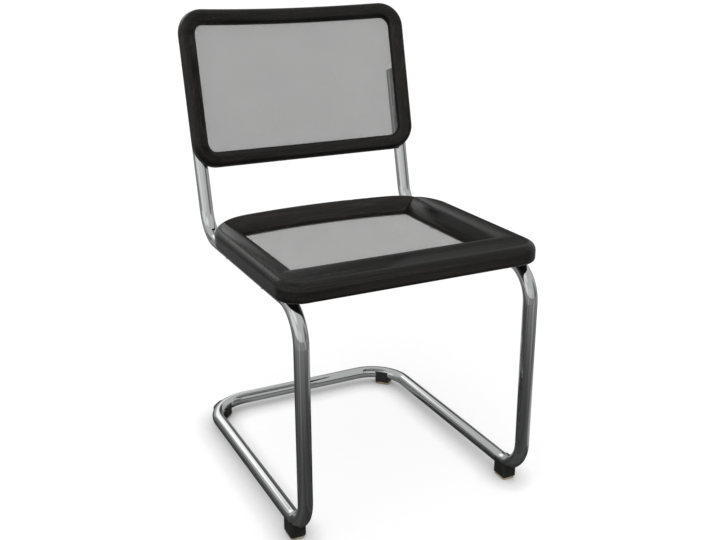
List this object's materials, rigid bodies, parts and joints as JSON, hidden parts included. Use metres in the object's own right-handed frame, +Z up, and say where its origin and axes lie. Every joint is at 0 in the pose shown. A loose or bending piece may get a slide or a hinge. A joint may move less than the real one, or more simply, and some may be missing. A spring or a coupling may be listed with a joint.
{
  "type": "cantilever chair",
  "caption": "Cantilever dining chair: one bent chromed tube carries a black wooden seat frame and a curved black back frame, both filled with pale net",
  "frame": {"origin": "on the floor under the middle of the chair's overall box", "axes": "+X to the sitter's left, the sitter faces -Y, +Z up"},
  "size_m": [0.472, 0.5694, 0.8179],
  "materials": {
    "chrome": "polished",
    "black_wood": "satin stain",
    "net": "matte woven",
    "black_plastic": "matte",
    "sole": "felt",
    "steel": "plain",
    "brass": "plain",
    "dowel_wood": "bare"
  },
  "bodies": {
    "root": {"tube_frame": "chrome", "end_plug_left": "black_plastic", "end_plug_right": "black_plastic", "glide_front_left": "black_plastic", "glide_front_right": "black_plastic", "glide_rear_left": "black_plastic", "glide_rear_right": "black_plastic", "sole_front_left": "sole", "sole_front_right": "sole", "sole_rear_left": "sole", "sole_rear_right": "sole", "seat_front_rail": "black_wood", "seat_rear_rail": "black_wood", "seat_left_rail": "black_wood", "seat_right_rail": "black_wood", "seat_dowels": "dowel_wood", "seat_net": "net", "seat_net_batten": "black_plastic", "back_top_rail": "black_wood", "back_bottom_rail": "black_wood", "back_left_stile": "black_wood", "back_right_stile": "black_wood", "back_dowels": "dowel_wood", "back_net": "net", "back_net_spline": "black_plastic", "seat_bolts": "steel", "seat_washers": "steel", "seat_inserts": "brass", "back_bolts": "steel", "back_washers": "steel", "back_inserts": "brass"}
  },
  "joints": []
}
